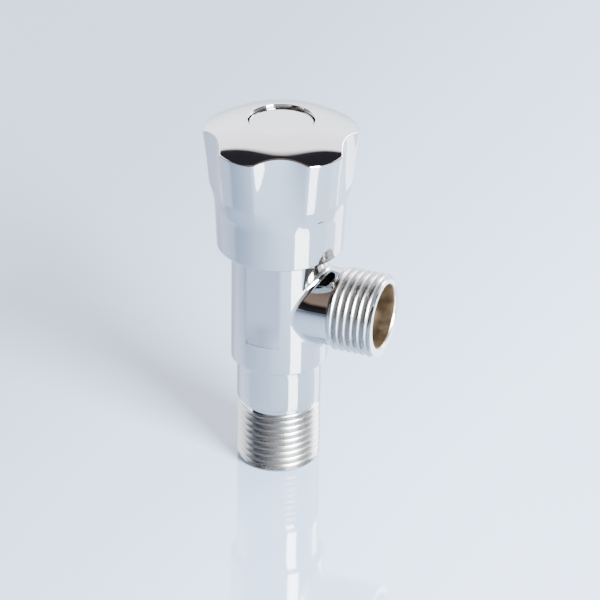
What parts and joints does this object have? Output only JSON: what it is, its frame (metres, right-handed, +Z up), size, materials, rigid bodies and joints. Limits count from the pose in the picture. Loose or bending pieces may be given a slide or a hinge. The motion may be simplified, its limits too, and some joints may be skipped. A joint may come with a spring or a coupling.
{
  "type": "angle stop valve",
  "caption": "Chromed brass angle stop valve with a threaded inlet below, a threaded side outlet and a fluted round handle that turns to lift the seat washer.",
  "frame": {"origin": "centre of the inlet end face, on the valve axis", "axes": "+Z up the valve axis from the inlet to the handle, +X out of the side outlet"},
  "size_m": [0.0471, 0.0382, 0.0941],
  "materials": {
    "body_chrome": "bright chrome plate on brass, bare brass in the waterway",
    "handle_chrome": "bright chrome plate",
    "brass": "machined, unplated",
    "steel": "stainless, turned",
    "rubber": "matt black",
    "fibre": "compressed fibre sheet",
    "ptfe": "waxy white",
    "nylon": "moulded grey"
  },
  "bodies": {
    "housing": {"valve_body": "body_chrome", "bonnet": "brass", "bonnet_gasket": "fibre", "bonnet_o_ring": "rubber"},
    "knob": {"handle": "handle_chrome", "index_cap": "handle_chrome", "cap_retaining_ring": "rubber", "handle_screw": "steel", "screw_washer": "steel", "spline_bush": "nylon", "spindle": "brass", "spindle_o_ring_lower": "rubber", "spindle_o_ring_upper": "rubber", "thrust_washer": "ptfe", "retaining_clip": "steel"},
    "plug": {"valve_plug": "brass", "washer_cup": "steel", "seat_washer": "rubber", "washer_retainer": "steel", "washer_screw": "brass"}
  },
  "joints": [
    {"name": "handle_turn", "type": "hinge", "parent": "housing", "child": "knob", "pos_m": [0, 0, 0.0605], "axis": [0, 0, 1], "range_deg": [0, 1080]},
    {"name": "plug_lift", "type": "slide", "parent": "housing", "child": "plug", "axis": [0, 0, 1], "range_m": [0, 0.0045]}
  ],
  "couplings": [
    {"joint": "plug_lift", "follows": "handle_turn", "m_per_rad": 0.00023873}
  ]
}
